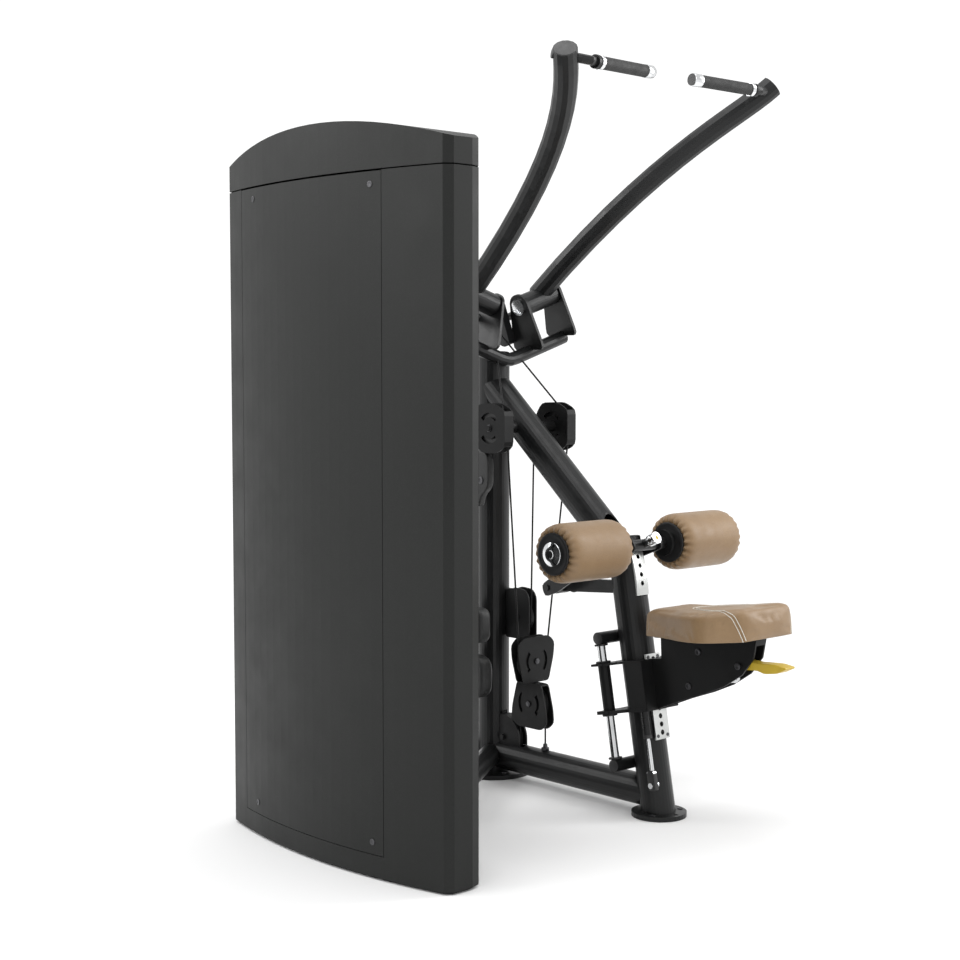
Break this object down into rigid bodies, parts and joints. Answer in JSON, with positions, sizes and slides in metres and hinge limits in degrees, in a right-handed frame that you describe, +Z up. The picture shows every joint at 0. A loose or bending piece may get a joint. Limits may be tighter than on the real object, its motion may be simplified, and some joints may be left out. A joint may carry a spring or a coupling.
{
  "type": "lat pulldown machine",
  "caption": "Lat pulldown machine: two swinging arms on tilted pivots, thigh rollers and a sliding seat, cabled to a shrouded weight tower.",
  "frame": {"origin": "on the floor at the main upright's axis, under its foot plate", "axes": "+Z up; +Y the way the user faces, toward the upright; +X the user's right, away from the weight tower"},
  "size_m": [1.3126, 1.1992, 1.9197],
  "materials": {
    "main_upright": "satin powder coat",
    "diagonal_brace": "satin powder coat",
    "seat_post": "satin powder coat",
    "floor_tube": "satin powder coat",
    "pivot_bracket": "satin powder coat",
    "pivot_bolt_left": "polished",
    "pivot_bolt_right": "polished",
    "diverter_housing_left": "satin powder coat",
    "diverter_housing_right": "satin powder coat",
    "base_pulley_bracket": "satin powder coat",
    "guide_pulley_bracket": "satin powder coat",
    "tower_shell": "fine speckled powder coat",
    "access_panel": "fine speckled powder coat",
    "inner_shroud": "fine speckled powder coat",
    "tower_cap": "fine speckled powder coat",
    "tower_base": "satin powder coat",
    "tower_link": "satin powder coat",
    "stack_rod_rear": "polished",
    "stack_rod_front": "polished",
    "top_frame": "satin powder coat",
    "resting_plates": "black painted",
    "seat_guide_rod_left": "polished",
    "seat_guide_rod_right": "polished",
    "seat_hole_plate": "zinc plated",
    "gas_spring_rod": "polished",
    "pad_arc_plate": "zinc plated",
    "equaliser_cable": "nylon-coated steel cable",
    "lifting_cable": "nylon-coated steel cable",
    "pivot_hub_left": "satin powder coat",
    "arm_tube_left": "satin powder coat",
    "handle_bar_left": "polished",
    "grip_left": "matt",
    "cable_horn_left": "satin powder coat",
    "pivot_hub_right": "satin powder coat",
    "arm_tube_right": "satin powder coat",
    "handle_bar_right": "polished",
    "grip_right": "matt",
    "cable_horn_right": "satin powder coat",
    "diverter_pulley_left": "nylon",
    "diverter_pulley_right": "nylon",
    "block_upper_housing": "satin powder coat",
    "block_lower_housing": "satin powder coat",
    "block_upper_pulley": "nylon",
    "block_lower_pulley": "nylon",
    "base_pulley": "nylon",
    "guide_pulley": "nylon",
    "corner_pulley": "nylon",
    "tower_foot_pulley": "nylon",
    "tower_top_pulley": "nylon",
    "lifted_plates": "black painted",
    "selector_pin": "polished",
    "seat_cushion": "tan upholstery",
    "seat_carriage": "satin powder coat",
    "gas_spring_body": "matt",
    "seat_lever": "yellow",
    "seat_latch_pin": "polished",
    "pad_arm": "satin powder coat",
    "pad_roller_left": "tan upholstery",
    "pad_roller_right": "tan upholstery",
    "pad_pop_pin": "polished"
  },
  "bodies": {
    "frame": {"main_upright": "main_upright", "diagonal_brace": "diagonal_brace", "seat_post": "seat_post", "floor_tube": "floor_tube", "pivot_bracket": "pivot_bracket", "pivot_bolt_left": "pivot_bolt_left", "pivot_bolt_right": "pivot_bolt_right", "diverter_housing_left": "diverter_housing_left", "diverter_housing_right": "diverter_housing_right", "base_pulley_bracket": "base_pulley_bracket", "guide_pulley_bracket": "guide_pulley_bracket", "tower_shell": "tower_shell", "access_panel": "access_panel", "inner_shroud": "inner_shroud", "tower_cap": "tower_cap", "tower_base": "tower_base", "tower_link": "tower_link", "stack_rod_rear": "stack_rod_rear", "stack_rod_front": "stack_rod_front", "top_frame": "top_frame", "resting_plates": "resting_plates", "seat_guide_rod_left": "seat_guide_rod_left", "seat_guide_rod_right": "seat_guide_rod_right", "seat_hole_plate": "seat_hole_plate", "gas_spring_rod": "gas_spring_rod", "pad_arc_plate": "pad_arc_plate", "equaliser_cable": "equaliser_cable", "lifting_cable": "lifting_cable"},
    "arm_left": {"pivot_hub_left": "pivot_hub_left", "arm_tube_left": "arm_tube_left", "handle_bar_left": "handle_bar_left", "grip_left": "grip_left", "cable_horn_left": "cable_horn_left"},
    "arm_right": {"pivot_hub_right": "pivot_hub_right", "arm_tube_right": "arm_tube_right", "handle_bar_right": "handle_bar_right", "grip_right": "grip_right", "cable_horn_right": "cable_horn_right"},
    "diverter_left": {"diverter_pulley_left": "diverter_pulley_left"},
    "diverter_right": {"diverter_pulley_right": "diverter_pulley_right"},
    "block": {"block_upper_housing": "block_upper_housing", "block_lower_housing": "block_lower_housing"},
    "block_upper_wheel": {"block_upper_pulley": "block_upper_pulley"},
    "block_lower_wheel": {"block_lower_pulley": "block_lower_pulley"},
    "base_wheel": {"base_pulley": "base_pulley"},
    "guide_wheel": {"guide_pulley": "guide_pulley"},
    "corner_wheel": {"corner_pulley": "corner_pulley"},
    "tower_foot_wheel": {"tower_foot_pulley": "tower_foot_pulley"},
    "tower_top_wheel": {"tower_top_pulley": "tower_top_pulley"},
    "lifted_stack": {"lifted_plates": "lifted_plates"},
    "stack_selector": {"selector_pin": "selector_pin"},
    "seat": {"seat_cushion": "seat_cushion", "seat_carriage": "seat_carriage", "gas_spring_body": "gas_spring_body"},
    "seat_release": {"seat_lever": "seat_lever"},
    "seat_latch": {"seat_latch_pin": "seat_latch_pin"},
    "thigh_pad_arm": {"pad_arm": "pad_arm"},
    "roller_left": {"pad_roller_left": "pad_roller_left"},
    "roller_right": {"pad_roller_right": "pad_roller_right"},
    "pad_pin": {"pad_pop_pin": "pad_pop_pin"}
  },
  "joints": [
    {"name": "arm_left_swing", "type": "hinge", "parent": "frame", "child": "arm_left", "pos_m": [-0.143, -0.055, 1.355], "axis": [0.9511, 0, -0.309], "range_deg": [0, 44]},
    {"name": "arm_right_swing", "type": "hinge", "parent": "frame", "child": "arm_right", "pos_m": [0.143, -0.055, 1.355], "axis": [0.9511, 0, 0.309], "range_deg": [0, 44]},
    {"name": "block_lift", "type": "slide", "parent": "frame", "child": "block", "axis": [0, 0, 1], "range_m": [0, 0.0729], "deforming": ["equaliser_cable"]},
    {"name": "stack_lift", "type": "slide", "parent": "frame", "child": "lifted_stack", "axis": [0, 0, 1], "range_m": [0, 0.1459], "deforming": ["lifting_cable"]},
    {"name": "diverter_left_spin", "type": "hinge", "parent": "frame", "child": "diverter_left", "pos_m": [-0.12, -0.128, 0.99], "axis": [1, 0, 0], "continuous": true},
    {"name": "diverter_right_spin", "type": "hinge", "parent": "frame", "child": "diverter_right", "pos_m": [0.12, -0.128, 0.99], "axis": [1, 0, 0], "continuous": true},
    {"name": "block_upper_spin", "type": "hinge", "parent": "block", "child": "block_upper_wheel", "pos_m": [0, -0.16, 0.342], "axis": [0, 1, 0], "continuous": true},
    {"name": "block_lower_spin", "type": "hinge", "parent": "block", "child": "block_lower_wheel", "pos_m": [0, -0.16, 0.222], "axis": [1, 0, 0], "continuous": true},
    {"name": "base_pulley_spin", "type": "hinge", "parent": "frame", "child": "base_wheel", "pos_m": [0, -0.058, 0.113], "axis": [1, 0, 0], "continuous": true},
    {"name": "guide_pulley_spin", "type": "hinge", "parent": "frame", "child": "guide_wheel", "pos_m": [0.018, -0.093, 0.455], "axis": [1, 0, 0], "continuous": true},
    {"name": "corner_pulley_spin", "type": "hinge", "parent": "frame", "child": "corner_wheel", "pos_m": [-0.041, 0.11616, 0.0625], "axis": [0, 0, 1], "continuous": true},
    {"name": "tower_foot_pulley_spin", "type": "hinge", "parent": "frame", "child": "tower_foot_wheel", "pos_m": [-0.66031, -0.26145, 0.113], "axis": [0.568, -0.823, 0], "continuous": true},
    {"name": "tower_top_pulley_spin", "type": "hinge", "parent": "frame", "child": "tower_top_wheel", "pos_m": [-0.74344, -0.31882, 1.52], "axis": [0.568, -0.823, 0], "continuous": true},
    {"name": "selector_pin_pull", "type": "slide", "parent": "lifted_stack", "child": "stack_selector", "axis": [1, 0, 0], "range_m": [0, 0.05]},
    {"name": "seat_height", "type": "slide", "parent": "frame", "child": "seat", "axis": [0, 0.1805, 0.9836], "range_m": [-0.084, 0.042]},
    {"name": "seat_lever_lift", "type": "hinge", "parent": "seat", "child": "seat_release", "pos_m": [0, -0.90493, 0.42987], "axis": [-1, 0, 0], "range_deg": [0, 12], "stiffness_Nm_per_rad": 6, "springref_deg": -2.86},
    {"name": "seat_latch_slide", "type": "slide", "parent": "seat", "child": "seat_latch", "axis": [0, -0.9836, 0.1805], "range_m": [0, 0.0121]},
    {"name": "thigh_pad_tilt", "type": "hinge", "parent": "frame", "child": "thigh_pad_arm", "pos_m": [0, -0.27, 0.561], "axis": [-1, 0, 0], "range_deg": [-17.8, 4.45]},
    {"name": "roller_left_spin", "type": "hinge", "parent": "thigh_pad_arm", "child": "roller_left", "pos_m": [0, -0.5639, 0.69618], "axis": [1, 0, 0], "continuous": true},
    {"name": "roller_right_spin", "type": "hinge", "parent": "thigh_pad_arm", "child": "roller_right", "pos_m": [0, -0.5639, 0.69618], "axis": [1, 0, 0], "continuous": true},
    {"name": "pad_pin_pull", "type": "slide", "parent": "thigh_pad_arm", "child": "pad_pin", "axis": [0, -0.9085, 0.4179], "range_m": [0, 0.012], "stiffness_N_per_m": 400, "springref_m": -0.003}
  ],
  "couplings": [
    {"joint": "arm_right_swing", "follows": "arm_left_swing", "ratio": 1},
    {"joint": "block_lift", "follows": "arm_left_swing", "m_per_rad": 0.095},
    {"joint": "stack_lift", "follows": "arm_left_swing", "m_per_rad": 0.19},
    {"joint": "diverter_left_spin", "follows": "arm_left_swing", "ratio": -1.8812},
    {"joint": "diverter_right_spin", "follows": "arm_left_swing", "ratio": -1.8812},
    {"joint": "block_lower_spin", "follows": "arm_left_swing", "ratio": 1.8812},
    {"joint": "base_pulley_spin", "follows": "arm_left_swing", "ratio": -3.7624},
    {"joint": "corner_pulley_spin", "follows": "arm_left_swing", "ratio": -4.6341},
    {"joint": "tower_foot_pulley_spin", "follows": "arm_left_swing", "ratio": 3.7624},
    {"joint": "tower_top_pulley_spin", "follows": "arm_left_swing", "ratio": -3.7624},
    {"joint": "seat_latch_slide", "follows": "seat_lever_lift", "m_per_rad": 0.0573}
  ]
}
